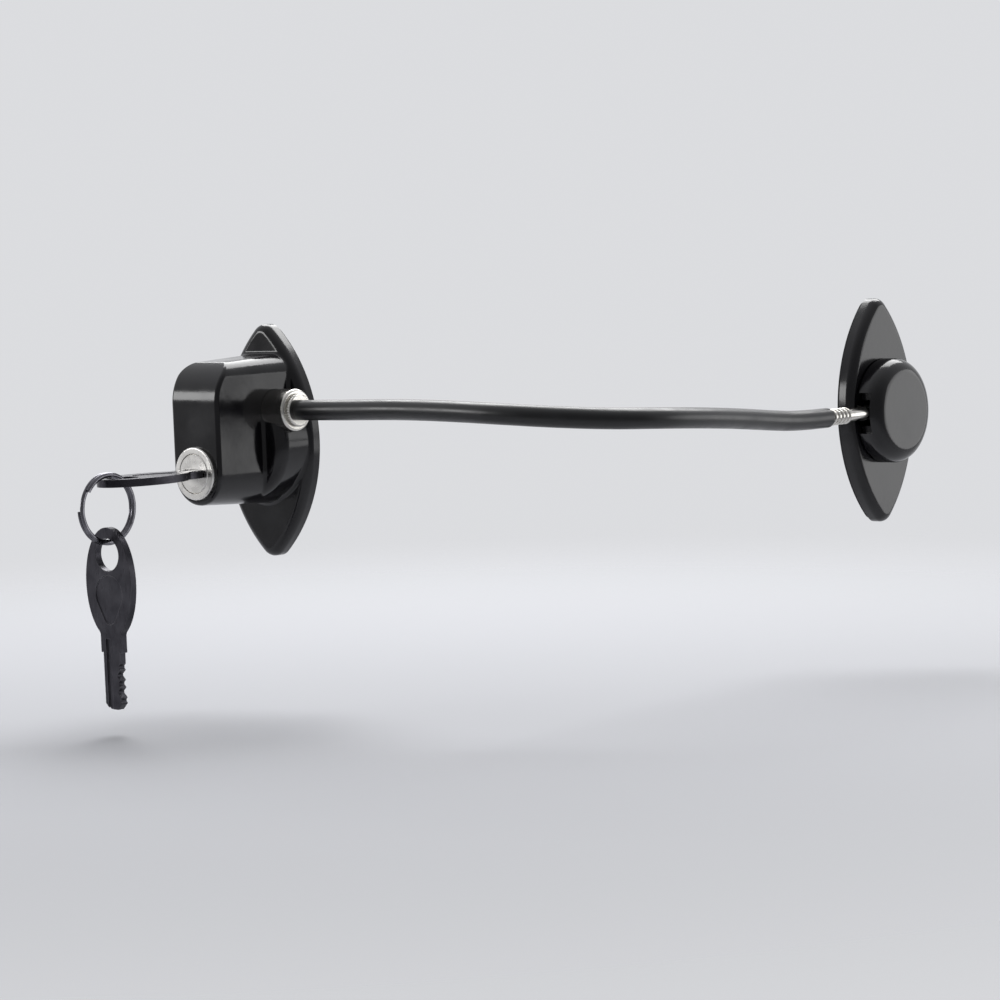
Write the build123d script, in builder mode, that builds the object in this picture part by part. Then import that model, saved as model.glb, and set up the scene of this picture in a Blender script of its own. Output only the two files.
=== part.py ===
from build123d import *
import os
from math import atan, atan2, cos, degrees, pi, sin, tan

# Key-operated cable lock for a refrigerator door, in millimetres.
# The origin is the middle of the lock plate's adhesive face. +X runs along the face it is
# stuck on, towards the corner, +Y goes into that face and +Z is up, so the lock stands out
# along -Y. The anchor sits round the corner and stands out along +X. Drawn unlocked, key in.

# Leaf-shaped plates, the same on lock and anchor
plate_width = 30.0
plate_height = 58.0
plate_thick = 4.0
plate_tip_radius = 4.0
plate_edge_round = 2.2
pad_thick = 1.0
pad_inset = 0.8

# Where the two plates are stuck
corner_x = 97.0
anchor_back = 120.0

# Lock casting
drum_radius = 14.5
drum_height = 9.0
drum_round = 3.0
tower_width = 15.8
tower_height = 24.0
tower_draft = 3.0
tower_top = 21.6
tower_brow = 11.0
tower_corner = 5.0
tower_edge = 1.0
drum_foot_round = 1.2
tower_foot_round = 1.0

# Key cylinder, on an axis along Y
key_z = -6.3
shell_radius = 5.9
shell_flange_radius = 6.5
shell_flange_thick = 1.0
shell_flange_round = 0.4
plug_radius = 4.2
plug_head_radius = 4.9
plug_head_thick = 1.3
plug_proud = 0.1
plug_edge = 0.3
keyway_width = 5.8
keyway_thick = 2.1
keyway_depth = 14.6
running_gap = 0.05
seat_gap = 0.1
cut_over = 1.0
full_turn = 360

# Wafers in the plug
wafer_count = 5
wafer_pitch = 2.0
wafer_first = 2.6
wafer_thick = 1.0
wafer_width = 5.2

# Keys
key_thick = 1.9
blade_width = 5.6
blade_length = 13.6
key_cuts = (0.5, 1.1, 0.8, 1.0, 0.3)
cut_bottom = 0.5
shoulder_width = 7.0
shoulder_length = 3.2
bow_length = 26.6
bow_width = 15.4
bow_hole_radius = 3.9
bow_rim = 2.6
bow_panel_radius = 4.5
bow_panel_foot = 2.0
bow_panel_depth = 0.25
blade_groove_width = 1.5
blade_groove_depth = 0.4
blade_groove_offset = 1.0

# Split ring
ring_radius = 8.0
ring_wire = 1.3
ring_wire_thick = 0.8
ring_turns = 1.9
ring_hang_gap = 0.4

# Latch works behind the cylinder
socket_out = 9.5
socket_z = 8.0
chamber_radius = 6.3
chamber_front = 13.5
cam_thick = 3.0
cam_low = 3.0
cam_high = 4.6
cam_turn = 90.0
cam_dwell = 10.0
cam_fall = 50.0
cam_square = 3.2
tail_radius = 2.6
clip_radius = 5.3
clip_thick = 0.8
clip_groove_radius = 2.0
clip_snap = 0.6
cam_screw_head = 2.5
cam_screw_head_thick = 1.4
cam_screw_shank = 0.95
cam_screw_length = 4.5
cam_screw_round = 0.5
cam_screw_slot = 0.6
bolt_radius = 3.0
bolt_gap = 0.1
bolt_foot_radius = 1.2
bolt_body = 2.0
nose_radius = 1.5
nose_gap = 0.25
nose_round = 0.3
channel_roof = 1.05
spring_wire = 0.45
spring_radius = 2.3
spring_pitch = 1.05

# Cable socket and plug, on an axis along X
sleeve_radius = 5.2
sleeve_inner_end = 7.0
sleeve_edge = 0.6
socket_mouth = 16.0
socket_floor = 8.2
cable_plug_radius = 3.25
cable_plug_inner_end = 7.5
cable_plug_cone = 1.2
groove_width = 3.8
groove_radius = 1.55
plug_flat = 2.5
rim_radius = 3.9
rim_thick = 1.0

# Back cover
cover_thick = 1.5
cover_inset = 2.5
cover_screw_places = ((9.2, -4.0), (-9.2, -4.0), (0.0, 17.0))
cover_screw_radius = 1.0
cover_screw_head = 1.9
cover_screw_sink = 1.0
cover_screw_length = 5.5
cross_length = 2.0
cross_width = 0.45
cross_depth = 0.6

# Cable
cable_diameter = 5.0

# Anchor
post_radius = 3.0
eye_radius = 5.6
eye_thick = 3.6
eye_gap = 0.1
eye_neck = 6.5
collar_radius = 5.5
collar_height = 0.3
ferrule_radius = 1.8
ferrule_reach = 30.0
cap_radius = 13.5
cap_wall = 2.2
cap_ceiling = 2.6
cap_round = 4.0
cap_lift = 0.35
cap_mouth_width = 10.5
washer_radius = 4.9
washer_thick = 0.8
washer_recess_radius = 5.3
washer_recess_depth = 2.2
swivel_screw_head = 2.6
swivel_screw_head_thick = 1.1
swivel_screw_shank = 1.2
swivel_screw_length = 5.0

# Levels above the adhesive faces, worked out from the sizes above
plate_front = pad_thick + plate_thick
casting_root = plate_front - plate_edge_round
drum_front = plate_front + drum_height
tower_front = plate_front + tower_height
flange_front = tower_front + shell_flange_thick
plug_front = flange_front + plug_proud
cover_front = pad_thick + cover_thick
cam_back = socket_out - cam_thick / 2
cam_front = socket_out + cam_thick / 2
shoulder_stop = plug_front + seat_gap * 2
key_end = shoulder_stop + shoulder_length + bow_length
eye_back = plate_front + collar_height + eye_gap
ferrule_out = eye_back + eye_thick / 2
cap_ceiling_back = eye_back + eye_thick + eye_gap
cap_front = cap_ceiling_back + cap_ceiling
washer_floor = pad_thick + washer_recess_depth
post_end = washer_floor - running_gap
clip_front = chamber_front - seat_gap
wafer_levels = [flange_front - wafer_first - wafer_thick - wafer_pitch * row for row in range(wafer_count)]

# Heights along Z, worked out from the sizes above
foot_z = key_z + cam_low + bolt_gap + bolt_foot_radius
body_top = foot_z + bolt_body
nose_top = socket_z - cable_plug_radius - nose_gap
channel_top = socket_z - cable_plug_radius - channel_roof
ring_out = key_end - bow_rim / 2
ring_pitch = ring_wire_thick + running_gap
ring_inside = ring_radius - ring_wire / 2
ring_z = key_z + key_thick / 2 + ring_hang_gap - ring_inside
spare_shoulder_z = ring_z - ring_inside + ring_hang_gap + bow_rim - shoulder_length - bow_length

# Back cover outline and its countersinks
cover_width = plate_width - 2 * cover_inset
cover_height = plate_height - 2 * cover_inset
cover_screw_taper = degrees(atan((cover_screw_head - cover_screw_radius) / cover_screw_sink))


# A pointed oval with rounded tips: two wide side arcs, tangent to two small tip arcs
def leaf_face(width, height, tip_radius):
    half_width = width / 2
    tip_centre = height / 2 - tip_radius
    side_radius = (half_width**2 + tip_centre**2 - tip_radius**2) / (2 * (half_width - tip_radius))
    lean = atan2(tip_centre, side_radius - half_width)
    join_x = tip_radius * cos(lean)
    join_y = tip_centre + tip_radius * sin(lean)
    with BuildSketch() as leaf:
        with BuildLine():
            ThreePointArc((join_x, -join_y), (half_width, 0), (join_x, join_y))
            ThreePointArc((join_x, join_y), (0, height / 2), (-join_x, join_y))
            ThreePointArc((-join_x, join_y), (-half_width, 0), (-join_x, -join_y))
            ThreePointArc((-join_x, -join_y), (0, -height / 2), (join_x, -join_y))
        make_face()
    return leaf.sketch


# Planes that look at the door from in front, and at the side panel from outside
door = Plane.XZ
panel = Plane((corner_x, anchor_back, 0), x_dir=(0, 1, 0), z_dir=(1, 0, 0))
socket_line = Plane.YZ
os.makedirs("parts", exist_ok=True)

# Adhesive pads of foam tape
with BuildPart() as lock_adhesive_pad:
    with BuildSketch(door):
        add(leaf_face(plate_width - 2 * pad_inset, plate_height - 2 * pad_inset, plate_tip_radius))
    extrude(amount=pad_thick)
lock_adhesive_pad.part.label = "lock_adhesive_pad"
export_step(lock_adhesive_pad.part, "parts/lock_adhesive_pad.step")

with BuildPart() as anchor_adhesive_pad:
    with BuildSketch(panel):
        add(leaf_face(plate_width - 2 * pad_inset, plate_height - 2 * pad_inset, plate_tip_radius))
    extrude(amount=pad_thick)
anchor_adhesive_pad.part.label = "anchor_adhesive_pad"
export_step(anchor_adhesive_pad.part, "parts/anchor_adhesive_pad.step")

# Key tower: its outline from in front, crossed with its profile from the side
tower_reach = tower_front - casting_root
tower_base_half = tower_width / 2 + tower_reach * tan(tower_draft * pi / 180)
with BuildPart() as tower:
    with BuildSketch(door.offset(casting_root)) as tower_outline:
        with Locations((0, key_z)):
            Circle(tower_base_half)
            Rectangle(2 * tower_base_half, tower_top - key_z, align=(Align.CENTER, Align.MIN))
        fillet(tower_outline.vertices().group_by(Axis.Y)[-1], tower_corner)
    extrude(amount=tower_reach, taper=tower_draft)
    with BuildSketch(socket_line) as tower_profile:
        with Locations((-casting_root, key_z - tower_base_half)):
            Rectangle(tower_reach, tower_top - key_z + tower_base_half, align=(Align.MAX, Align.MIN))
        fillet(tower_profile.vertices().group_by(Axis.Y)[-1].sort_by(Axis.X)[0], tower_brow)
    extrude(amount=plate_width, both=True, mode=Mode.INTERSECT)
    front_edges = tower.faces().sort_by(Axis.Y)[0].edges()
    fillet(front_edges.filter_by(Axis.X, reverse=True), tower_edge)

# Lock casting: leaf plate, drum and tower, bored for the cable's sleeve and hollowed from behind
with BuildPart() as lock_base:
    with BuildSketch(door.offset(pad_thick)):
        add(leaf_face(plate_width, plate_height, plate_tip_radius))
    extrude(amount=plate_thick)
    fillet(lock_base.faces().sort_by(Axis.Y)[0].edges(), plate_edge_round)
    with BuildSketch(door.offset(casting_root)):
        Circle(drum_radius)
    extrude(amount=drum_front - casting_root)
    fillet(lock_base.faces().sort_by(Axis.Y)[0].edges(), drum_round)
    round_edges = lock_base.edges().filter_by(GeomType.CIRCLE)
    drum_foot = round_edges.filter_by(lambda edge: abs(edge.radius - drum_radius) < running_gap)
    fillet(drum_foot.filter_by_position(Axis.Y, -plate_front, -plate_front), drum_foot_round)
    add(tower.part)
    tower_foot = lock_base.edges().filter_by(GeomType.BSPLINE)
    fillet(tower_foot.filter_by_position(Axis.Y, -drum_front, -drum_front), tower_foot_round)
    with BuildSketch(door.offset(pad_thick)):
        add(leaf_face(cover_width, cover_height, plate_tip_radius))
    extrude(amount=cover_thick, mode=Mode.SUBTRACT)
    with BuildSketch(door.offset(cover_front)):
        with Locations((0, key_z)):
            Circle(chamber_radius)
    extrude(amount=chamber_front - cover_front, mode=Mode.SUBTRACT)
    with BuildSketch(door.offset(chamber_front)):
        with Locations((0, key_z)):
            Circle(shell_radius + running_gap)
    extrude(amount=tower_front - chamber_front, mode=Mode.SUBTRACT)
    with BuildSketch(socket_line.offset(-socket_floor)):
        with Locations((-socket_out, socket_z)):
            Circle(cable_plug_radius + running_gap)
            Rectangle(2 * (plug_flat + running_gap), 4 * cable_plug_radius, mode=Mode.INTERSECT)
    extrude(amount=socket_floor + socket_mouth, mode=Mode.SUBTRACT)
    with BuildSketch(socket_line.offset(sleeve_inner_end)):
        with Locations((-socket_out, socket_z)):
            Circle(sleeve_radius + running_gap)
    extrude(amount=socket_mouth, mode=Mode.SUBTRACT)
    with BuildSketch(Plane.XY.offset(key_z)):
        with Locations((0, -socket_out)):
            Circle(bolt_radius + bolt_gap)
    extrude(amount=channel_top - key_z, mode=Mode.SUBTRACT)
    with BuildSketch(Plane.XY.offset(key_z)):
        with Locations((0, -socket_out)):
            Circle(nose_radius + running_gap)
    extrude(amount=socket_z - key_z, mode=Mode.SUBTRACT)
    with BuildSketch(door.offset(cover_front)):
        with Locations(*cover_screw_places):
            Circle(cover_screw_radius + running_gap)
    extrude(amount=cover_screw_length - cover_thick + seat_gap, mode=Mode.SUBTRACT)
lock_base.part.label = "lock_base"
export_step(lock_base.part, "parts/lock_base.step")

# Bright sleeve pressed into the casting's side, with the flats that keep the plug from turning
with BuildPart() as socket_sleeve:
    with BuildSketch(socket_line.offset(sleeve_inner_end)):
        with Locations((-socket_out, socket_z)):
            Circle(sleeve_radius)
    extrude(amount=socket_mouth - sleeve_inner_end)
    fillet(socket_sleeve.faces().sort_by(Axis.X)[-1].edges(), sleeve_edge)
    with BuildSketch(socket_line):
        with Locations((-socket_out, socket_z)):
            Circle(cable_plug_radius + running_gap)
            Rectangle(2 * (plug_flat + running_gap), 4 * cable_plug_radius, mode=Mode.INTERSECT)
    extrude(amount=socket_mouth, mode=Mode.SUBTRACT)
socket_sleeve.part.label = "socket_sleeve"
export_step(socket_sleeve.part, "parts/socket_sleeve.step")

# Back cover and its countersunk screws
with BuildPart() as lock_back_cover:
    with BuildSketch(door.offset(pad_thick)):
        add(leaf_face(cover_width - 2 * seat_gap, cover_height - 2 * seat_gap, plate_tip_radius))
    extrude(amount=cover_thick)
    with BuildSketch(door.offset(pad_thick)):
        with Locations(*cover_screw_places):
            Circle(cover_screw_head + seat_gap)
    extrude(amount=cover_screw_sink, taper=cover_screw_taper, mode=Mode.SUBTRACT)
    with BuildSketch(door.offset(pad_thick)):
        with Locations(*cover_screw_places):
            Circle(cover_screw_radius + seat_gap)
    extrude(amount=cover_thick, mode=Mode.SUBTRACT)
lock_back_cover.part.label = "lock_back_cover"
export_step(lock_back_cover.part, "parts/lock_back_cover.step")

with BuildPart() as cover_screws:
    with BuildSketch(door.offset(pad_thick)):
        with Locations(*cover_screw_places):
            Circle(cover_screw_head)
    extrude(amount=cover_screw_sink, taper=cover_screw_taper)
    with BuildSketch(door.offset(pad_thick)):
        with Locations(*cover_screw_places):
            Circle(cover_screw_radius)
    extrude(amount=cover_screw_length)
    with BuildSketch(door.offset(pad_thick)):
        with Locations(*cover_screw_places):
            Rectangle(cross_length, cross_width)
            Rectangle(cross_width, cross_length)
    extrude(amount=cross_depth, mode=Mode.SUBTRACT)
cover_screws.part.label = "cover_screws"
export_step(cover_screws.part, "parts/cover_screws.step")

# Shell of the key cylinder, with its bright flange on the tower's face
with BuildPart() as cylinder_shell:
    with BuildSketch(door.offset(chamber_front)):
        with Locations((0, key_z)):
            Circle(shell_radius)
    extrude(amount=tower_front - chamber_front)
    with BuildSketch(door.offset(tower_front)):
        with Locations((0, key_z)):
            Circle(shell_flange_radius)
    extrude(amount=shell_flange_thick)
    fillet(cylinder_shell.faces().sort_by(Axis.Y)[0].edges(), shell_flange_round)
    with BuildSketch(door.offset(chamber_front)):
        with Locations((0, key_z)):
            Circle(plug_radius + running_gap)
    extrude(amount=flange_front - chamber_front, mode=Mode.SUBTRACT)
    with BuildSketch(door.offset(flange_front)):
        with Locations((0, key_z)):
            Circle(plug_head_radius + running_gap)
    extrude(amount=-plug_head_thick, mode=Mode.SUBTRACT)
cylinder_shell.part.label = "cylinder_shell"
export_step(cylinder_shell.part, "parts/cylinder_shell.step")

# Plug that the key turns: head, slotted body, and a tail with a clip groove and a square
with BuildPart() as key_plug:
    with BuildSketch(door.offset(chamber_front)):
        with Locations((0, key_z)):
            Circle(plug_radius)
    extrude(amount=plug_front - chamber_front)
    with BuildSketch(door.offset(flange_front - plug_head_thick)):
        with Locations((0, key_z)):
            Circle(plug_head_radius)
    extrude(amount=plug_head_thick + plug_proud)
    chamfer(key_plug.faces().sort_by(Axis.Y)[0].edges(), plug_edge)
    with BuildSketch(door.offset(cam_front)):
        with Locations((0, key_z)):
            Circle(tail_radius)
    extrude(amount=chamber_front - cam_front)
    with BuildSketch(door.offset(cam_back)):
        with Locations((0, key_z)):
            Rectangle(cam_square, cam_square)
    extrude(amount=cam_thick)
    with BuildSketch(door.offset(clip_front + running_gap)):
        with Locations((0, key_z)):
            Circle(tail_radius + cut_over)
            Circle(clip_groove_radius, mode=Mode.SUBTRACT)
    extrude(amount=-clip_thick - 2 * running_gap, mode=Mode.SUBTRACT)
    with BuildSketch(door.offset(plug_front)):
        with Locations((0, key_z)):
            Rectangle(keyway_width, keyway_thick)
    extrude(amount=-keyway_depth, mode=Mode.SUBTRACT)
    for level in wafer_levels:
        with BuildSketch(door.offset(level - running_gap)):
            with Locations((0, key_z)):
                Rectangle(4 * plug_radius, wafer_width + 2 * running_gap)
        extrude(amount=wafer_thick + 2 * running_gap, mode=Mode.SUBTRACT)
    with BuildSketch(door.offset(cam_back)):
        with Locations((0, key_z)):
            Circle(cam_screw_shank + running_gap)
    extrude(amount=cam_screw_length + seat_gap, mode=Mode.SUBTRACT)
key_plug.part.label = "key_plug"
export_step(key_plug.part, "parts/key_plug.step")

# Disc tumblers, one in each slot of the plug, with a window for the key
with BuildPart() as wafers:
    for level in wafer_levels:
        with BuildSketch(door.offset(level)):
            with Locations((0, key_z)):
                Circle(plug_radius - running_gap)
                Rectangle(2 * plug_radius, wafer_width, mode=Mode.INTERSECT)
                Rectangle(keyway_width, keyway_thick, mode=Mode.SUBTRACT)
        extrude(amount=wafer_thick)
wafers.part.label = "wafers"
export_step(wafers.part, "parts/wafers.step")

# Clip behind the shell that keeps the plug from coming forward
with BuildPart() as plug_clip:
    with BuildSketch(door.offset(clip_front)):
        with Locations((0, key_z)):
            Circle(clip_radius)
            Circle(clip_groove_radius + running_gap, mode=Mode.SUBTRACT)
        with Locations((0, key_z - clip_radius)):
            Rectangle(2 * clip_groove_radius - clip_snap, 2 * clip_radius, mode=Mode.SUBTRACT)
    extrude(amount=-clip_thick)
plug_clip.part.label = "plug_clip"
export_step(plug_clip.part, "parts/plug_clip.step")


# A point of the cam, by its radius and its angle round the key's axis
def cam_point(radius, angle):
    return (radius * cos(angle * pi / 180), key_z + radius * sin(angle * pi / 180))


# Cam on the plug's square tail: an even spiral from the top, rising round to the left
cam_start = 90.0
cam_crest = cam_start + cam_turn
cam_heel = cam_crest + cam_dwell
cam_foot = cam_heel + cam_fall
cam_end = cam_start + full_turn
cam_rise = cam_high - cam_low
cam_steps = [step / 6 for step in range(7)]
with BuildPart() as cam:
    with BuildSketch(door.offset(cam_back)):
        with BuildLine():
            Spline([cam_point(cam_low + cam_rise * step, cam_start + cam_turn * step) for step in cam_steps])
            ThreePointArc(*[cam_point(cam_high, angle) for angle in (cam_crest, cam_crest + cam_dwell / 2, cam_heel)])
            Line(cam_point(cam_high, cam_heel), cam_point(cam_low, cam_foot))
            ThreePointArc(*[cam_point(cam_low, angle) for angle in (cam_foot, (cam_foot + cam_end) / 2, cam_end)])
        make_face()
        with Locations((0, key_z)):
            Rectangle(cam_square + 2 * running_gap, cam_square + 2 * running_gap, mode=Mode.SUBTRACT)
    extrude(amount=cam_thick)
cam.part.label = "cam"
export_step(cam.part, "parts/cam.step")

with BuildPart() as cam_screw:
    with BuildSketch(door.offset(cam_back)):
        with Locations((0, key_z)):
            Circle(cam_screw_head)
    extrude(amount=-cam_screw_head_thick)
    fillet(cam_screw.faces().sort_by(Axis.Y)[-1].edges(), cam_screw_round)
    with BuildSketch(door.offset(cam_back - cam_screw_head_thick)):
        with Locations((0, key_z)):
            Rectangle(cam_screw_slot, 3 * cam_screw_head)
    extrude(amount=cam_screw_slot, mode=Mode.SUBTRACT)
    with BuildSketch(door.offset(cam_back)):
        with Locations((0, key_z)):
            Circle(cam_screw_shank)
    extrude(amount=cam_screw_length)
cam_screw.part.label = "cam_screw"
export_step(cam_screw.part, "parts/cam_screw.step")

# Latch bolt: a round body with a ridge that rides the cam, and a nose for the plug's groove
bolt_line = Plane.XY.offset(foot_z)
with BuildPart() as latch_bolt:
    with BuildSketch(bolt_line):
        with Locations((0, -socket_out)):
            Circle(bolt_radius)
    extrude(amount=bolt_body)
    with BuildSketch(door.offset(cam_back)):
        with Locations((0, foot_z)):
            Circle(bolt_foot_radius)
    extrude(amount=cam_thick)
    with BuildSketch(bolt_line):
        with Locations((0, -socket_out)):
            Circle(nose_radius)
    extrude(amount=nose_top - foot_z)
    fillet(latch_bolt.faces().sort_by(Axis.Z)[-1].edges(), nose_round)
latch_bolt.part.label = "latch_bolt"
export_step(latch_bolt.part, "parts/latch_bolt.step")

# Spring round the bolt's nose, between its body and the channel's roof
with BuildPart() as latch_spring:
    spring_start = (0, -socket_out, body_top + spring_wire / 2 + seat_gap)
    spring_height = channel_top - body_top - spring_wire - 2 * seat_gap
    with BuildLine() as coil:
        Helix(spring_pitch, spring_height, spring_radius, center=spring_start)
    with BuildSketch(Plane(coil.line @ 0, z_dir=coil.line % 0)):
        Circle(spring_wire / 2)
    sweep(is_frenet=True)
latch_spring.part.label = "latch_spring"
export_step(latch_spring.part, "parts/latch_spring.step")


# A flat key, its shoulder at the origin, bow up, blade down, with cuts along one edge
def key_face():
    with BuildSketch() as face:
        with Locations((0, shoulder_length + bow_length / 2)):
            Ellipse(bow_width / 2, bow_length / 2)
        Rectangle(shoulder_width, shoulder_length + bow_length / 4, align=(Align.CENTER, Align.MIN))
        fillet(face.vertices().group_by(Axis.Y)[1], shoulder_length / 2)
        Rectangle(blade_width, blade_length, align=(Align.CENTER, Align.MAX))
        chamfer(face.vertices().group_by(Axis.Y)[0], blade_width / 4)
        with Locations((0, shoulder_length + bow_length - bow_rim - bow_hole_radius)):
            Circle(bow_hole_radius, mode=Mode.SUBTRACT)
        for level, depth in zip(wafer_levels, key_cuts):
            with Locations((blade_width / 2, level + wafer_thick / 2 - shoulder_stop)):
                Trapezoid(cut_bottom + 2 * depth, depth, 45, rotation=90, mode=Mode.SUBTRACT,
                          align=(Align.CENTER, Align.MIN))
    return face.sketch


# The coined panel on each side of the bow, under its hole
def bow_panel_face():
    panel_top = shoulder_length + bow_length - bow_rim - 2 * bow_hole_radius - cut_over
    with BuildSketch() as face:
        with Locations((0, panel_top - bow_panel_radius)):
            Circle(bow_panel_radius)
        with Locations((0, shoulder_length + shoulder_width / 2 + bow_panel_foot)):
            Circle(bow_panel_foot)
        make_hull()
    return face.sketch


# The groove milled along each side of the blade
def blade_groove_face():
    with BuildSketch() as face:
        with Locations((-blade_groove_offset, shoulder_length)):
            Rectangle(blade_groove_width, 2 * blade_length, align=(Align.CENTER, Align.MAX))
    return face.sketch


key_places = {
    "inserted_key": Plane((0, -shoulder_stop, key_z), x_dir=(1, 0, 0), z_dir=(0, 0, -1)),
    "spare_key": Plane((0, -ring_out, spare_shoulder_z), x_dir=(1, 0, 0), z_dir=(0, -1, 0)),
}
for key_name, place in key_places.items():
    sides = (place.offset(key_thick / 2), place.offset(-key_thick / 2))
    with BuildPart() as key:
        with BuildSketch(place):
            add(key_face())
        extrude(amount=key_thick / 2, both=True)
        with BuildSketch(*sides):
            add(bow_panel_face())
        extrude(amount=bow_panel_depth, both=True, mode=Mode.SUBTRACT)
        with BuildSketch(*sides):
            add(blade_groove_face())
        extrude(amount=blade_groove_depth, both=True, mode=Mode.SUBTRACT)
    key.part.label = key_name
    export_step(key.part, f"parts/{key_name}.step")

# Split ring: nearly two turns of flat wire, wound about Z, then stood up on the bow's rim
with BuildPart() as ring_coil:
    with BuildLine() as turns:
        Helix(ring_pitch, ring_turns * ring_pitch, ring_radius)
    with BuildSketch(Plane(turns.line @ 0, x_dir=(0, 0, 1), z_dir=turns.line % 0)):
        Ellipse(ring_wire_thick / 2, ring_wire / 2)
    sweep(is_frenet=True)
ring_place = Plane((-ring_turns * ring_pitch / 2, -ring_out, ring_z), x_dir=(0, -1, 0), z_dir=(1, 0, 0))
with BuildPart() as key_ring:
    add(ring_place.from_local_coords(ring_coil.part))
key_ring.part.label = "key_ring"
export_step(key_ring.part, "parts/key_ring.step")

# Plug on the cable's end: a turned pin with a groove for the latch, flats and a bright rim
with BuildPart() as cable_plug:
    with BuildSketch(socket_line.offset(-cable_plug_inner_end)):
        with Locations((-socket_out, socket_z)):
            Circle(cable_plug_radius)
    extrude(amount=cable_plug_inner_end + socket_mouth)
    chamfer(cable_plug.faces().sort_by(Axis.X)[0].edges(), cable_plug_cone)
    with BuildSketch(socket_line.offset(-groove_width / 2)):
        with Locations((-socket_out, socket_z)):
            Circle(2 * cable_plug_radius)
            Circle(groove_radius, mode=Mode.SUBTRACT)
    extrude(amount=groove_width, mode=Mode.SUBTRACT)
    with BuildSketch(socket_line.offset(-cable_plug_inner_end)):
        with Locations((-socket_out, socket_z)):
            Rectangle(4 * cable_plug_radius, 4 * cable_plug_radius)
            Rectangle(2 * plug_flat, 4 * cable_plug_radius, mode=Mode.SUBTRACT)
    extrude(amount=cable_plug_inner_end + socket_mouth, mode=Mode.SUBTRACT)
    with BuildSketch(socket_line.offset(socket_mouth)):
        with Locations((-socket_out, socket_z)):
            Circle(rim_radius)
    extrude(amount=rim_thick)
    fillet(cable_plug.faces().sort_by(Axis.X)[-1].edges(), rim_thick / 3)
cable_plug.part.label = "cable_plug"
export_step(cable_plug.part, "parts/cable_plug.step")

# Cable: from the plug along the door, round its corner and along the side panel
cable_route = [
    (socket_mouth + rim_thick, -socket_out, socket_z),
    (31.0, -socket_out, socket_z),
    (48.0, -10.3, 8.3),
    (66.0, -11.7, 8.1),
    (82.1, -12.2, 7.5),
    (94.5, -7.1, 6.5),
    (104.1, 2.5, 5.5),
    (109.2, 14.9, 4.9),
    (108.9, 31.0, 3.9),
    (106.9, 48.0, 2.6),
    (104.9, 64.0, 1.1),
    (corner_x + ferrule_out, 77.0, 0.0),
    (corner_x + ferrule_out, anchor_back - ferrule_reach, 0.0),
]


# Each bend is as wide as its two runs allow
def bend_radius(before, at, after):
    into = Vector(*at) - Vector(*before)
    out = Vector(*after) - Vector(*at)
    half_turn = into.get_angle(out) / 2 * pi / 180
    return 0.45 * min(into.length, out.length) / tan(half_turn)


bend_radii = [bend_radius(*three) for three in zip(cable_route, cable_route[1:], cable_route[2:])]
print("cable bend radii", [round(radius) for radius in bend_radii])
with BuildPart() as cable:
    with BuildLine() as cable_line:
        FilletPolyline(*cable_route, radius=bend_radii)
    with BuildSketch(Plane(cable_line.line @ 0, z_dir=cable_line.line % 0)):
        Circle(cable_diameter / 2)
    sweep()
cable.part.label = "cable"
export_step(cable.part, "parts/cable.step")
cable_length = sum(edge.length for edge in cable_line.edges())
cable_section = pi * cable_diameter**2 / 4
print("cable length", round(cable_length, 1))
print("cable volume over section times length", round(cable.part.volume / cable_section / cable_length, 4))

# Ferrule: a stem on the cable's end, and an eye round the cap's post
with BuildPart() as ferrule:
    with BuildSketch(panel.offset(eye_back)):
        Circle(eye_radius)
        Rectangle(eye_neck + eye_thick, 2 * ferrule_radius, align=(Align.MAX, Align.CENTER))
    extrude(amount=eye_thick)
    with BuildSketch(Plane.XZ.offset(ferrule_reach - anchor_back)):
        with Locations((corner_x + ferrule_out, 0)):
            Circle(ferrule_radius)
    extrude(amount=eye_neck - ferrule_reach)
    with BuildSketch(panel.offset(plate_front)):
        Circle(post_radius + running_gap)
    extrude(amount=cap_front, mode=Mode.SUBTRACT)
ferrule.part.label = "ferrule"
export_step(ferrule.part, "parts/ferrule.step")

# Anchor casting: leaf plate with a bearing collar, bored for the post and recessed behind
with BuildPart() as anchor_base:
    with BuildSketch(panel.offset(pad_thick)):
        add(leaf_face(plate_width, plate_height, plate_tip_radius))
    extrude(amount=plate_thick)
    fillet(anchor_base.faces().sort_by(Axis.X)[-1].edges(), plate_edge_round)
    with BuildSketch(panel.offset(plate_front)):
        Circle(collar_radius)
    extrude(amount=collar_height)
    with BuildSketch(panel.offset(pad_thick)):
        Circle(post_radius + running_gap)
    extrude(amount=plate_thick + collar_height, mode=Mode.SUBTRACT)
    with BuildSketch(panel.offset(pad_thick)):
        Circle(washer_recess_radius)
    extrude(amount=washer_floor - pad_thick, mode=Mode.SUBTRACT)
anchor_base.part.label = "anchor_base"
export_step(anchor_base.part, "parts/anchor_base.step")

# Swivel cap: a shallow cup with a post through the ferrule's eye and a mouth for its stem
with BuildPart() as swivel_cap:
    with BuildSketch(panel.offset(plate_front + cap_lift)):
        Circle(cap_radius)
    extrude(amount=cap_front - plate_front - cap_lift)
    fillet(swivel_cap.faces().sort_by(Axis.X)[-1].edges(), cap_round)
    with BuildSketch(panel.offset(plate_front + cap_lift)):
        Circle(cap_radius - cap_wall)
    extrude(amount=cap_ceiling_back - plate_front - cap_lift, mode=Mode.SUBTRACT)
    with BuildSketch(panel.offset(plate_front + cap_lift)):
        with Locations((-cap_radius, 0)):
            Rectangle(2 * cap_wall + cut_over, cap_mouth_width)
    extrude(amount=cap_ceiling_back - plate_front - cap_lift, mode=Mode.SUBTRACT)
    with BuildSketch(panel.offset(post_end)):
        Circle(post_radius)
    extrude(amount=cap_ceiling_back - post_end)
    with BuildSketch(panel.offset(post_end)):
        Circle(swivel_screw_shank + running_gap)
    extrude(amount=swivel_screw_length - washer_thick + seat_gap, mode=Mode.SUBTRACT)
swivel_cap.part.label = "swivel_cap"
export_step(swivel_cap.part, "parts/swivel_cap.step")

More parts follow.
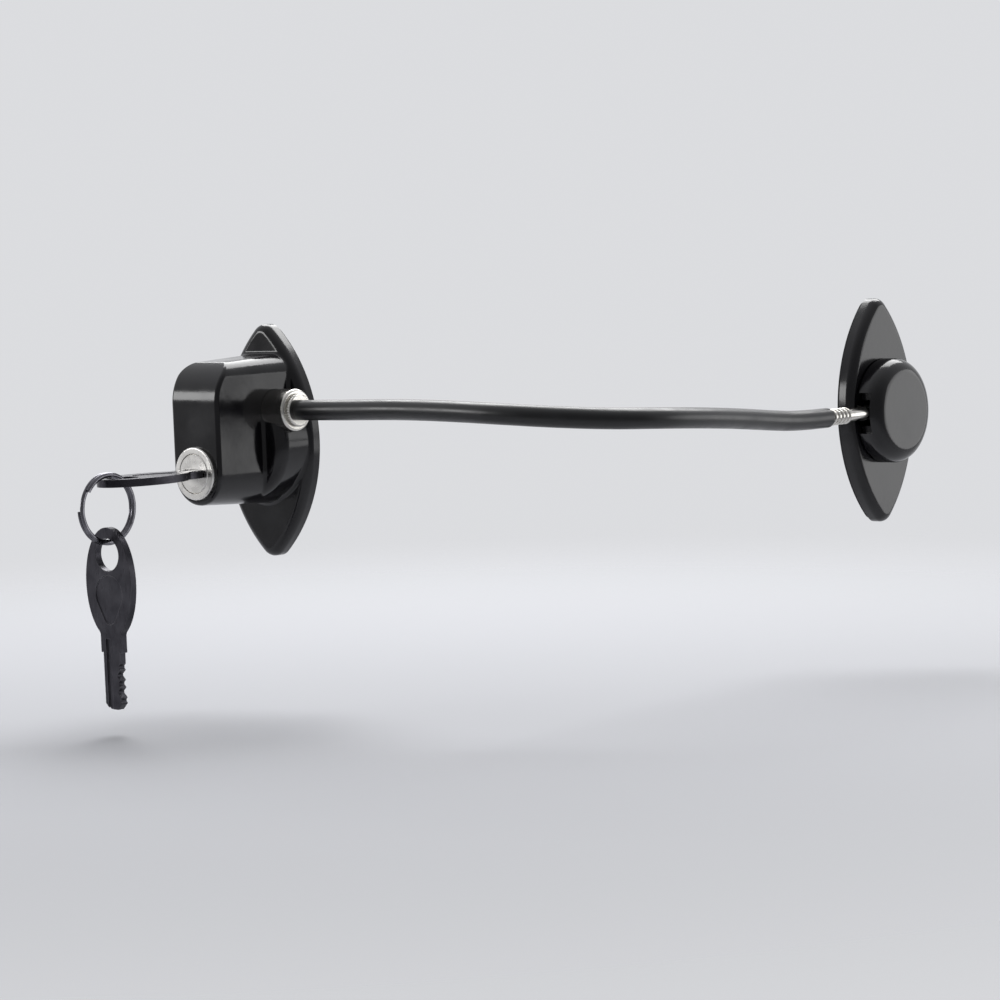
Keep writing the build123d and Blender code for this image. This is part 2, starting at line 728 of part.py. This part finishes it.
with BuildPart() as swivel_washer:
    with BuildSketch(panel.offset(post_end)):
        Circle(washer_radius)
        Circle(swivel_screw_shank + seat_gap, mode=Mode.SUBTRACT)
    extrude(amount=-washer_thick)
swivel_washer.part.label = "swivel_washer"
export_step(swivel_washer.part, "parts/swivel_washer.step")

with BuildPart() as swivel_screw:
    with BuildSketch(panel.offset(post_end - washer_thick)):
        Circle(swivel_screw_head)
    extrude(amount=-swivel_screw_head_thick)
    with BuildSketch(panel.offset(post_end - washer_thick)):
        Circle(swivel_screw_shank)
    extrude(amount=swivel_screw_length)
    with BuildSketch(panel.offset(post_end - washer_thick - swivel_screw_head_thick)):
        Rectangle(cross_length, cross_width)
        Rectangle(cross_width, cross_length)
    extrude(amount=cross_depth, mode=Mode.SUBTRACT)
swivel_screw.part.label = "swivel_screw"
export_step(swivel_screw.part, "parts/swivel_screw.step")
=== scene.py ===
from math import cos, pi, radians, sin

import bmesh
import bpy
from mathutils import Matrix, Vector


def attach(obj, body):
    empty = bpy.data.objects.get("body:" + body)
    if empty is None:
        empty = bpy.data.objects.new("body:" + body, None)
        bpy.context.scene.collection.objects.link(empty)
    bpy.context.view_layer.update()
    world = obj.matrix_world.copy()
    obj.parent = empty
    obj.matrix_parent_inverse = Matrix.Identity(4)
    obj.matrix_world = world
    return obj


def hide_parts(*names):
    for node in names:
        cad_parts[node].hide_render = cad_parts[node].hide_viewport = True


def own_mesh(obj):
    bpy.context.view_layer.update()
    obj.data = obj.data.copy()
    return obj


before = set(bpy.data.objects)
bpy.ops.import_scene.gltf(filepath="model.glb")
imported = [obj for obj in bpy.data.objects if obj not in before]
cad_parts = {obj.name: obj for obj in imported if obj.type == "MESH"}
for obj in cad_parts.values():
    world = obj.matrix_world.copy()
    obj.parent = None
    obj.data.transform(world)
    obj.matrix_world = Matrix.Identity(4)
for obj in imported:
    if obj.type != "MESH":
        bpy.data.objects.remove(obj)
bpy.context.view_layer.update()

scene = bpy.context.scene
mm = 0.001
print("frame loaded")


# camera: the photograph's viewing angle, with a longer lens so that the lock fills the frame
view = {
    "place": (0.5355, -0.5507, 0.0440), "yaw": -40.10, "pitch": -4.58, "roll": -2.2,
    "pixelsPerRadian": 3061, "pixelsWide": 1000, "sensorWide": 36, "nearest": 0.01,
}


def makeCamera():
    yaw, pitch, roll = (radians(view[key]) for key in ("yaw", "pitch", "roll"))
    forward = Vector((sin(yaw) * cos(pitch), cos(yaw) * cos(pitch), sin(pitch)))
    right = Vector((cos(yaw), -sin(yaw), 0))
    up = right.cross(forward)
    data = bpy.data.cameras.new("camera")
    data.sensor_width = view["sensorWide"]
    data.lens = view["pixelsPerRadian"] * data.sensor_width / view["pixelsWide"]
    data.clip_start = view["nearest"]
    camera = bpy.data.objects.new("camera", data)
    tilted = (right * cos(roll) + up * sin(roll), up * cos(roll) - right * sin(roll), -forward)
    camera.matrix_world = Matrix(tilted).transposed().to_4x4()
    camera.location = view["place"]
    scene.collection.objects.link(camera)
    scene.camera = camera


makeCamera()


# small helpers
def linearColour(hexText):  # sRGB hex to the linear colour that shaders take
    parts = [int(hexText[i:i + 2], 16) / 255 for i in (1, 3, 5)]
    return tuple(c / 12.92 if c <= 0.04045 else ((c + 0.055) / 1.055) ** 2.4 for c in parts) + (1.0,)


def addNode(tree, kind, inputs=None, **settings):  # one node, with its settings, values and links
    node = tree.nodes.new(kind)
    for name, value in settings.items():
        setattr(node, name, value)
    for name, value in (inputs or {}).items():
        if isinstance(value, bpy.types.NodeSocket):
            tree.links.new(value, node.inputs[name])
        else:
            node.inputs[name].default_value = value
    return node


def newMaterial(name, shaderValues):
    material = bpy.data.materials.new(name)
    material.use_nodes = True
    tree = material.node_tree
    tree.nodes.clear()
    shader = addNode(tree, "ShaderNodeBsdfPrincipled", shaderValues)
    addNode(tree, "ShaderNodeOutputMaterial", {"Surface": shader.outputs["BSDF"]})
    where = addNode(tree, "ShaderNodeTexCoord").outputs["Object"]
    return material, tree, shader, where


# patterns: the span of a noise that is stretched to the full range, the cosines between an edge's softened
# and own normal where wear starts and is full, and the radians that a wave texture turns in one unit
patterns = {
    "cloudDetail": 4.0, "noiseLow": 0.32, "noiseHigh": 0.68, "wearStarts": 0.995, "wearFull": 0.9,
    "wearSamples": 4, "waveTurn": 20,
}


# materials: clouds of two shades, and a grain that carries relief and gloss, or gloss by the clouds if
# smeared; where a look has a worn shade, edges rub to it over a band of edgeMm
def mottledFinish(name, look, shaderValues):
    material, tree, shader, where = newMaterial(name, shaderValues)
    clouds = addNode(tree, "ShaderNodeTexNoise", {
        "Vector": where, "Scale": 1000 / look["cloudMm"], "Detail": patterns["cloudDetail"]})
    cloudy = addNode(tree, "ShaderNodeMapRange", {
        "Value": clouds.outputs["Fac"], "From Min": patterns["noiseLow"], "From Max": patterns["noiseHigh"]})
    shade = addNode(tree, "ShaderNodeMix", {
        0: cloudy.outputs["Result"], 6: linearColour(look["dark"]), 7: linearColour(look["light"])},
        data_type="RGBA").outputs[2]
    along = addNode(tree, "ShaderNodeMapping", {"Vector": where, "Scale": look.get("stretch", (1, 1, 1))})
    grain = addNode(tree, "ShaderNodeTexNoise", {
        "Vector": along.outputs["Vector"], "Scale": 1000 / look["grainMm"], "Detail": look["grainDetail"]})
    if "worn" in look:
        soft = addNode(
            tree, "ShaderNodeBevel", {"Radius": look["edgeMm"] * mm}, samples=patterns["wearSamples"])
        flat = addNode(tree, "ShaderNodeNewGeometry")
        bent = addNode(tree, "ShaderNodeVectorMath", {
            0: soft.outputs["Normal"], 1: flat.outputs["Normal"]}, operation="DOT_PRODUCT")
        edge = addNode(tree, "ShaderNodeMapRange", {
            "Value": bent.outputs["Value"], "From Min": patterns["wearStarts"],
            "From Max": patterns["wearFull"]})
        rubbed = addNode(tree, "ShaderNodeMath", {
            0: edge.outputs["Result"], 1: clouds.outputs["Fac"]}, operation="MULTIPLY")
        shade = addNode(tree, "ShaderNodeMix", {
            0: rubbed.outputs["Value"], 6: shade, 7: linearColour(look["worn"])}, data_type="RGBA").outputs[2]
    smears = clouds if look.get("smeared") else grain
    gloss = addNode(tree, "ShaderNodeMapRange", {
        "Value": smears.outputs["Fac"], "From Min": patterns["noiseLow"], "From Max": patterns["noiseHigh"],
        "To Min": look["gloss"][0], "To Max": look["gloss"][1]})
    relief = addNode(tree, "ShaderNodeBump", {
        "Height": grain.outputs["Fac"], "Distance": look["reliefMm"] * mm})
    tree.links.new(shade, shader.inputs["Base Color"])
    tree.links.new(gloss.outputs["Result"], shader.inputs["Roughness"])
    tree.links.new(relief.outputs["Normal"], shader.inputs["Normal"])
    return material


def turnedFinish(name, look):
    # rings about the key's axis, such as a lathe leaves under the plating
    material, tree, shader, where = newMaterial(name, {"Metallic": 1.0})
    fromAxis = addNode(tree, "ShaderNodeMapping", {
        "Vector": where, "Location": [-c * mm for c in look["centre"]]})
    rings = addNode(tree, "ShaderNodeTexWave", {
        "Vector": fromAxis.outputs["Vector"], "Scale": 2 * pi / patterns["waveTurn"] / (look["ringMm"] * mm),
        "Distortion": look["waver"], "Detail": look["waverDetail"], "Detail Scale": look["waverScale"]},
        wave_type="RINGS", rings_direction="Y")
    haze = addNode(tree, "ShaderNodeTexNoise", {
        "Vector": where, "Scale": 1000 / look["hazeMm"], "Detail": patterns["cloudDetail"]})
    shade = addNode(tree, "ShaderNodeMix", {
        0: haze.outputs["Fac"], 6: linearColour(look["dark"]), 7: linearColour(look["light"])},
        data_type="RGBA")
    gloss = addNode(tree, "ShaderNodeMapRange", {
        "Value": haze.outputs["Fac"], "From Min": look["hazeLow"], "From Max": look["hazeHigh"],
        "To Min": look["gloss"][0], "To Max": look["gloss"][1]})
    relief = addNode(tree, "ShaderNodeBump", {
        "Height": rings.outputs["Fac"], "Distance": look["reliefMm"] * mm, "Strength": look["strength"]})
    tree.links.new(shade.outputs[2], shader.inputs["Base Color"])
    tree.links.new(gloss.outputs["Result"], shader.inputs["Roughness"])
    tree.links.new(relief.outputs["Normal"], shader.inputs["Normal"])
    return material


def foamFinish(name, look):
    # closed cells about as wide as cellMm, cut open along the tape's edge
    material, tree, shader, where = newMaterial(name, {"Roughness": look["roughness"], "IOR": look["ior"]})
    cells = addNode(tree, "ShaderNodeTexVoronoi", {"Vector": where, "Scale": 1000 / look["cellMm"]})
    shade = addNode(tree, "ShaderNodeMix", {
        0: cells.outputs["Distance"], 6: linearColour(look["dark"]), 7: linearColour(look["light"])},
        data_type="RGBA")
    relief = addNode(tree, "ShaderNodeBump", {
        "Height": cells.outputs["Distance"], "Distance": look["reliefMm"] * mm, "Strength": look["strength"]})
    tree.links.new(shade.outputs[2], shader.inputs["Base Color"])
    tree.links.new(relief.outputs["Normal"], shader.inputs["Normal"])
    return material


looks = {
    # black stove enamel sprayed on die-cast zinc: deep gloss, a faint orange peel, smears from handling
    "enamel": {"dark": "#070609", "light": "#121115", "cloudMm": 9.0, "grainMm": 1.3, "grainDetail": 1.0,
               "gloss": (0.10, 0.22), "smeared": True, "reliefMm": 0.010},
    # bright nickel plate, buffed: a warm grey mirror with hair scratches
    "nickel": {"dark": "#c4c1bb", "light": "#d8d6d1", "cloudMm": 3.0, "grainMm": 0.5, "grainDetail": 6.0,
               "stretch": (1, 6, 1), "gloss": (0.08, 0.2), "reliefMm": 0.002},
    # nickel over a turned face: shallow rings some 2.2 mm apart, far wider than a lathe's, so that they show
    "turned": {"dark": "#d2d0cc", "light": "#dfddda", "centre": (0, 0, -6.3), "ringMm": 0.7 * pi,
               "waver": 0.4, "waverDetail": 1.0, "waverScale": 300.0, "hazeMm": 3.0,
               "hazeLow": 0.3, "hazeHigh": 0.7, "gloss": (0.24, 0.32), "reliefMm": 0.008, "strength": 0.6},
    # stamped steel blank, nickel plated, with a dark grey painted in for the dark surroundings its nickel
    # mirrors (painted reflection): satin with a grain along the key, edges rubbed grey
    "insertedKey": {"dark": "#37363b", "light": "#48474c", "worn": "#8d8c90", "edgeMm": 0.2, "cloudMm": 5.0,
                    "grainMm": 0.35, "grainDetail": 4.0, "stretch": (1, 0.12, 1), "gloss": (0.26, 0.4),
                    "reliefMm": 0.008},
    "spareKey": {"dark": "#37363b", "light": "#48474c", "worn": "#8d8c90", "edgeMm": 0.2, "cloudMm": 5.0,
                 "grainMm": 0.35, "grainDetail": 4.0, "stretch": (1, 1, 0.12), "gloss": (0.26, 0.4),
                 "reliefMm": 0.008},
    # flat spring wire, nickel, painted grey for the dark surroundings it mirrors (painted reflection)
    "ringWire": {"dark": "#5f5e63", "light": "#807f85", "cloudMm": 2.0, "grainMm": 0.4, "grainDetail": 4.0,
                 "gloss": (0.12, 0.24), "reliefMm": 0.003},
    # black PVC drawn over steel cable: gloss, with the slow waves of the extrusion
    "jacket": {"dark": "#070709", "light": "#0f0f12", "cloudMm": 5.0, "grainMm": 1.2, "grainDetail": 2.0,
               "gloss": (0.28, 0.40), "smeared": True, "reliefMm": 0.010},
    # closed-cell acrylic foam, matt
    "foam": {"dark": "#1b1b1c", "light": "#2b2b2d", "cellMm": 0.4, "reliefMm": 0.08, "strength": 0.7,
             "roughness": 0.85, "ior": 1.45},
    # pressed steel under a thin black electrocoat
    "cover_black": {"dark": "#1c1c1f", "light": "#28282b", "worn": "#4a4a4e", "edgeMm": 0.3, "cloudMm": 6.0,
                    "grainMm": 0.6, "grainDetail": 4.0, "gloss": (0.4, 0.55), "reliefMm": 0.010},
    # turned and pressed steel with clear zinc: cool grey, cloudy
    "hidden_steel": {"dark": "#9ea1a4", "light": "#bfc1c3", "cloudMm": 2.2, "grainMm": 0.4,
                     "grainDetail": 3.0, "gloss": (0.25, 0.42), "smeared": True, "reliefMm": 0.005},
    # wafers blanked from rolled brass strip
    "brass": {"dark": "#b08d50", "light": "#c9a768", "cloudMm": 3.0, "grainMm": 0.4, "grainDetail": 3.0,
              "stretch": (6, 1, 1), "gloss": (0.22, 0.36), "reliefMm": 0.004},
}
metal = {"Metallic": 1.0}
finish = {
    "enamel": mottledFinish("black enamel on cast zinc", looks["enamel"], {"IOR": 1.48}),
    "nickel": mottledFinish("buffed nickel plate", looks["nickel"], metal),
    "turned": turnedFinish("turned face under nickel", looks["turned"]),
    # the keys' dark grey stands in for the dark surroundings their nickel mirrors: painted reflection
    "insertedKey": mottledFinish("key painted dark as mirrored shade, grain along Y", looks["insertedKey"], metal),
    "spareKey": mottledFinish("key painted dark as mirrored shade, grain along Z", looks["spareKey"], metal),
    # the ring wire's grey is a painted reflection of dark surroundings
    "ringWire": mottledFinish("flat spring wire", looks["ringWire"], metal),
    "jacket": mottledFinish("extruded black PVC", looks["jacket"], {"IOR": 1.53}),
    "foam": foamFinish("closed-cell foam tape", looks["foam"]),
    "cover_black": mottledFinish("black electrocoat on steel", looks["cover_black"], {"IOR": 1.5}),
    "hidden_steel": mottledFinish("clear zinc on steel", looks["hidden_steel"], metal),
    "brass": mottledFinish("rolled brass", looks["brass"], metal),
}
print("materials made")

# cable: on its solid's own line, from the plug's rim round a bend to the ferrule, in mm
cableLine = {
    "points": [
        (17.0, -9.5, 8.0), (31.0, -9.5, 8.0), (48.0, -10.3, 8.3), (66.0, -11.7, 8.1), (82.1, -12.2, 7.5),
        (94.5, -7.1, 6.5), (104.1, 2.5, 5.5), (109.2, 14.9, 4.9), (108.9, 31.0, 3.9), (106.9, 48.0, 2.6),
        (104.9, 64.0, 1.1), (104.2, 77.0, 0.0), (104.2, 90.0, 0.0)],
    "diameter": 5.0,
    "length": 180.5,
    "order": 3,
    "stepsAlong": 16,
    "stepsRound": 10,
}


def makeCable():
    curve = bpy.data.curves.new("cableJacket", "CURVE")
    curve.dimensions = "3D"
    spline = curve.splines.new("NURBS")
    spline.points.add(len(cableLine["points"]) - 1)
    for point, place in zip(spline.points, cableLine["points"]):
        point.co = (*[c * mm for c in place], 1)
    spline.order_u = cableLine["order"]
    spline.use_endpoint_u = True
    curve.resolution_u = cableLine["stepsAlong"]
    curve.bevel_depth = cableLine["diameter"] / 2 * mm
    curve.bevel_resolution = cableLine["stepsRound"]
    curve.use_fill_caps = True
    cable = bpy.data.objects.new("cableJacket", curve)
    scene.collection.objects.link(cable)
    curve.materials.append(finish["jacket"])
    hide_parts("cable")
    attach(cable, "cable_end")


makeCable()
print("cable made")


def frozenMesh(piece):  # the piece with its modifiers worked in, as a plain mesh
    bpy.context.view_layer.update()
    made = bpy.data.meshes.new_from_object(piece.evaluated_get(bpy.context.evaluated_depsgraph_get()))
    piece.modifiers.clear()
    made.name = piece.name
    piece.data = made


# a solid's mesh: weld distance in metres, angles in degrees
meshCare = {"weld": 1e-6, "flat": 0.3, "sharp": 30, "bevelFrom": 40, "bevelSteps": 2, "areaWeight": 100}


def smoothPiece(node, name, body, material, edgeRound=0.0):
    # the solid's own mesh, welded, with its flats cleared of loose triangles and its curves shaded smooth
    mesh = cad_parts[node].data.copy()
    work = bmesh.new()
    work.from_mesh(mesh)
    bmesh.ops.remove_doubles(work, verts=work.verts, dist=meshCare["weld"])
    bmesh.ops.dissolve_limit(
        work, angle_limit=radians(meshCare["flat"]), verts=work.verts, edges=work.edges)
    work.to_mesh(mesh)
    work.free()
    for layer in list(mesh.attributes):
        if layer.name == "custom_normal":
            mesh.attributes.remove(layer)
    mesh.shade_smooth()
    mesh.set_sharp_from_angle(angle=radians(meshCare["sharp"]))
    mesh.materials.clear()
    mesh.materials.append(material)
    piece = bpy.data.objects.new(name, mesh)
    scene.collection.objects.link(piece)
    if edgeRound:
        bevel = piece.modifiers.new("edges", "BEVEL")
        bevel.width = edgeRound * mm
        bevel.segments = meshCare["bevelSteps"]
        bevel.limit_method = "ANGLE"
        bevel.angle_limit = radians(meshCare["bevelFrom"])
    weighted = piece.modifiers.new("normals", "WEIGHTED_NORMAL")
    weighted.keep_sharp = True
    weighted.weight = meshCare["areaWeight"]
    frozenMesh(piece)
    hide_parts(node)
    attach(piece, body)
    return piece


# outer pieces, back cover and pads: solid, piece, body, finish, slot and broken edge in mm
outerPieces = [
    ("lock_base", "lockHousing", "lock_case", "enamel", "black_paint", 0.0),
    ("anchor_base", "anchorPlate", "anchor", "enamel", "black_paint", 0.0),
    ("swivel_cap", "swivelCap", "cable_end", "enamel", "black_paint", 0.0),
    ("cylinder_shell", "cylinderShell", "lock_case", "turned", "nickel", 0.0),
    ("socket_sleeve", "socketSleeve", "lock_case", "nickel", "nickel", 0.0),
    ("key_plug", "keyPlug", "plug", "turned", "nickel", 0.0),
    ("cable_plug", "cablePlug", "cable_end", "nickel", "nickel", 0.0),
    ("ferrule", "cableFerrule", "cable_end", "nickel", "nickel", 0.0),
    ("key_ring", "splitRing", "ring", "ringWire", "nickel", 0.0),
    ("inserted_key", "insertedKey", "key", "insertedKey", "key_steel", 0.12),
    ("spare_key", "spareKey", "spare", "spareKey", "key_steel", 0.12),
    ("lock_back_cover", "backCover", "lock_case", "cover_black", "cover_black", 0.0),
    ("lock_adhesive_pad", "lockFoamPad", "lock_case", "foam", "foam", 0.0),
    ("anchor_adhesive_pad", "anchorFoamPad", "anchor", "foam", "foam", 0.0),
]
for node, name, body, look, slot, edgeRound in outerPieces:
    smoothPiece(node, name, body, finish[look], edgeRound)
print("outer pieces, back cover and pads made")

# latch spring: held at the channel's roof, with a mesh of its own
latchSpring = smoothPiece(
    "latch_spring", "latchSpring", "lock_case", finish["hidden_steel"])
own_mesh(latchSpring)
print("latch spring made")

# inner pieces keep their solids and take the real finish
innerFinishes = {
    "cover_screws": "hidden_steel", "plug_clip": "hidden_steel", "cam": "hidden_steel",
    "cam_screw": "hidden_steel", "latch_bolt": "hidden_steel", "swivel_washer": "hidden_steel",
    "swivel_screw": "hidden_steel", "wafers": "brass",
}
for node, look in innerFinishes.items():
    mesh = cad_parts[node].data
    mesh.materials.clear()
    mesh.materials.append(finish[look])
print("inner pieces finished")


# repeated forms grown with Geometry Nodes: crimp bands on the ferrule, ribs round the plug's rim
facets = {"bandRound": 48, "bandSection": 12, "ribRound": 10}


def newShapeTree(name, sockets):
    tree = bpy.data.node_groups.new(name, "GeometryNodeTree")
    tree.interface.new_socket("Geometry", in_out="OUTPUT", socket_type="NodeSocketGeometry")
    for label, kind in sockets.items():
        tree.interface.new_socket(label, in_out="INPUT", socket_type="NodeSocket" + kind)
    return tree, addNode(tree, "NodeGroupInput").outputs


def finishShapeTree(tree, instances, given):
    solid = addNode(tree, "GeometryNodeRealizeInstances", {"Geometry": instances})
    smooth = addNode(tree, "GeometryNodeSetShadeSmooth", {"Geometry": solid.outputs["Geometry"]})
    coated = addNode(tree, "GeometryNodeSetMaterial", {
        "Geometry": smooth.outputs["Geometry"], "Material": given["Finish"]})
    addNode(tree, "NodeGroupOutput", {"Geometry": coated.outputs["Geometry"]})


def bandTree():  # rings threaded on a line, such as the ridges a crimping die leaves
    tree, given = newShapeTree("bandsOnLine", {
        "Count": "Int", "Start": "Vector", "Step": "Vector", "Band radius": "Float",
        "Band height": "Float", "Finish": "Material"})
    line = addNode(tree, "GeometryNodeMeshLine", {
        "Count": given["Count"], "Start Location": given["Start"], "Offset": given["Step"]}, mode="OFFSET")
    path = addNode(tree, "GeometryNodeCurvePrimitiveCircle", {
        "Resolution": facets["bandRound"], "Radius": given["Band radius"]})
    section = addNode(tree, "GeometryNodeCurvePrimitiveCircle", {
        "Resolution": facets["bandSection"], "Radius": given["Band height"]})
    band = addNode(tree, "GeometryNodeCurveToMesh", {
        "Curve": path.outputs["Curve"], "Profile Curve": section.outputs["Curve"]})
    turn = addNode(tree, "FunctionNodeAlignRotationToVector", {"Vector": given["Step"]}, axis="Z")
    placed = addNode(tree, "GeometryNodeInstanceOnPoints", {
        "Points": line.outputs["Mesh"], "Instance": band.outputs["Mesh"],
        "Rotation": turn.outputs["Rotation"]})
    finishShapeTree(tree, placed.outputs["Instances"], given)
    return tree


def ribTree():  # round ribs side by side round a rim that lies across X
    tree, given = newShapeTree("ribsRoundRim", {
        "Count": "Int", "Middle": "Vector", "Rim radius": "Float", "Rib radius": "Float",
        "Rib length": "Float", "Finish": "Material"})
    rim = addNode(tree, "GeometryNodeMeshCircle", {
        "Vertices": given["Count"], "Radius": given["Rim radius"]})
    rib = addNode(tree, "GeometryNodeMeshCylinder", {
        "Vertices": facets["ribRound"], "Radius": given["Rib radius"], "Depth": given["Rib length"]})
    placed = addNode(tree, "GeometryNodeInstanceOnPoints", {
        "Points": rim.outputs["Mesh"], "Instance": rib.outputs["Mesh"]})
    turned = addNode(tree, "GeometryNodeTransform", {
        "Geometry": placed.outputs["Instances"], "Translation": given["Middle"], "Rotation": (0, pi / 2, 0)})
    finishShapeTree(tree, turned.outputs["Geometry"], given)
    return tree


def growPiece(name, tree, values, body):
    mesh = bpy.data.meshes.new(name)
    mesh.materials.append(values["Finish"])
    piece = bpy.data.objects.new(name, mesh)
    scene.collection.objects.link(piece)
    grown = piece.modifiers.new("grown", "NODES")
    grown.node_group = tree
    for item in tree.interface.items_tree:
        if item.in_out == "INPUT":
            grown[item.identifier] = values[item.name]
    frozenMesh(piece)
    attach(piece, body)


# both in metres
crimp = {"Count": 5, "Start": (0.1042, 0.0916, 0.0), "Step": (0.0, 0.0016, 0.0), "Band radius": 0.00175,
         "Band height": 0.00038, "Finish": finish["nickel"]}
ribs = {"Count": 40, "Middle": (0.0165, -0.0095, 0.008), "Rim radius": 0.00385, "Rib radius": 0.00022,
        "Rib length": 0.0007, "Finish": finish["nickel"]}
growPiece("ferruleCrimps", bandTree(), crimp, "cable_end")
growPiece("plugRimRibs", ribTree(), ribs, "cable_end")
print("crimps and ribs grown")

# pale floor under the hanging key, which fades out into the background, in metres
stage = {
    "floorLevel": -0.066, "floorSize": 3.0, "solidTo": 0.12, "goneBy": 0.45, "paper": "#c8c9cd",
    "roughness": 1.0, "shine": 0.1,
}


def makeFloor():
    mesh = bpy.data.meshes.new("floor")
    half = stage["floorSize"] / 2
    ends = ((-half, -half), (half, -half), (half, half), (-half, half))
    corners = [(x, y, stage["floorLevel"]) for x, y in ends]
    mesh.from_pydata(corners, [], [(0, 1, 2, 3)])
    floor = bpy.data.objects.new("floor", mesh)
    scene.collection.objects.link(floor)
    material, tree, shader, where = newMaterial("studio paper", {
        "Base Color": linearColour(stage["paper"]), "Roughness": stage["roughness"],
        "Specular IOR Level": stage["shine"]})
    away = addNode(tree, "ShaderNodeVectorMath", {0: where}, operation="LENGTH")
    fade = addNode(tree, "ShaderNodeMapRange", {
        "Value": away.outputs["Value"], "From Min": stage["solidTo"], "From Max": stage["goneBy"]},
        interpolation_type="SMOOTHSTEP")
    clear = addNode(tree, "ShaderNodeBsdfTransparent")
    mixed = addNode(tree, "ShaderNodeMixShader", {
        0: fade.outputs["Result"], 1: shader.outputs["BSDF"], 2: clear.outputs["BSDF"]})
    output = next(n for n in tree.nodes if n.type == "OUTPUT_MATERIAL")
    tree.links.new(mixed.outputs["Shader"], output.inputs["Surface"])
    mesh.materials.append(material)


# the studio: pale all round to the eye, and in mirrors paler above and behind than in front, going from
# one to the other between two cosines from the back's direction
studio = {
    "paper": "#e6e7ea", "seen": 0.9, "light": 0.36, "mirroredFront": 0.3, "mirroredBack": 1.0,
    "back": (-0.56, 0.61, 0.56), "frontTo": -0.6, "backFrom": 0.8,
}


def makeWorld():
    world = bpy.data.worlds.new("studio")
    scene.world = world
    world.use_nodes = True
    tree = world.node_tree
    tree.nodes.clear()
    path = addNode(tree, "ShaderNodeLightPath").outputs
    towards = addNode(tree, "ShaderNodeTexCoord").outputs["Generated"]
    behind = addNode(tree, "ShaderNodeVectorMath", {0: towards, 1: studio["back"]}, operation="DOT_PRODUCT")
    mirrored = addNode(tree, "ShaderNodeMapRange", {
        "Value": behind.outputs["Value"], "From Min": studio["frontTo"], "From Max": studio["backFrom"],
        "To Min": studio["mirroredFront"], "To Max": studio["mirroredBack"]}, interpolation_type="SMOOTHSTEP")
    lit = addNode(tree, "ShaderNodeMix", {
        "Factor": path["Is Glossy Ray"], "A": studio["light"], "B": mirrored.outputs["Result"]})
    direct = addNode(tree, "ShaderNodeMath", {
        0: path["Is Camera Ray"], 1: path["Is Transmission Ray"]}, operation="MAXIMUM")
    strength = addNode(tree, "ShaderNodeMix", {
        "Factor": direct.outputs["Value"], "A": lit.outputs["Result"], "B": studio["seen"]})
    background = addNode(tree, "ShaderNodeBackground", {
        "Color": linearColour(studio["paper"]), "Strength": strength.outputs["Result"]})
    addNode(tree, "ShaderNodeOutputWorld", {"Surface": background.outputs["Background"]})


# softboxes, each turned to one point at the lock: places and sizes in metres, power in watts
aim = (0.04, 0, 0)
softboxes = {
    "topBackBox": {"place": (-0.22, 0.52, 0.68), "size": (1.00, 0.60), "power": 11.0},
    "leftFrontBox": {"place": (-0.62, -0.72, 0.21), "size": (0.50, 0.25), "power": 2.4},
    "rightBackBox": {"place": (0.60, 0.74, 0.02), "size": (0.55, 0.35), "power": 0.9},
}


def makeLamps():
    for name, box in softboxes.items():
        data = bpy.data.lights.new(name, "AREA")
        data.shape = "RECTANGLE"
        data.size, data.size_y = box["size"]
        data.energy = box["power"]
        lamp = bpy.data.objects.new(name, data)
        lamp.location = box["place"]
        towards = Vector(aim) - Vector(box["place"])
        lamp.rotation_euler = towards.to_track_quat("-Z", "Y").to_euler()
        scene.collection.objects.link(lamp)


makeFloor()
makeWorld()
makeLamps()
scene.view_settings.view_transform = "Standard"
print("floor, world and lamps made")
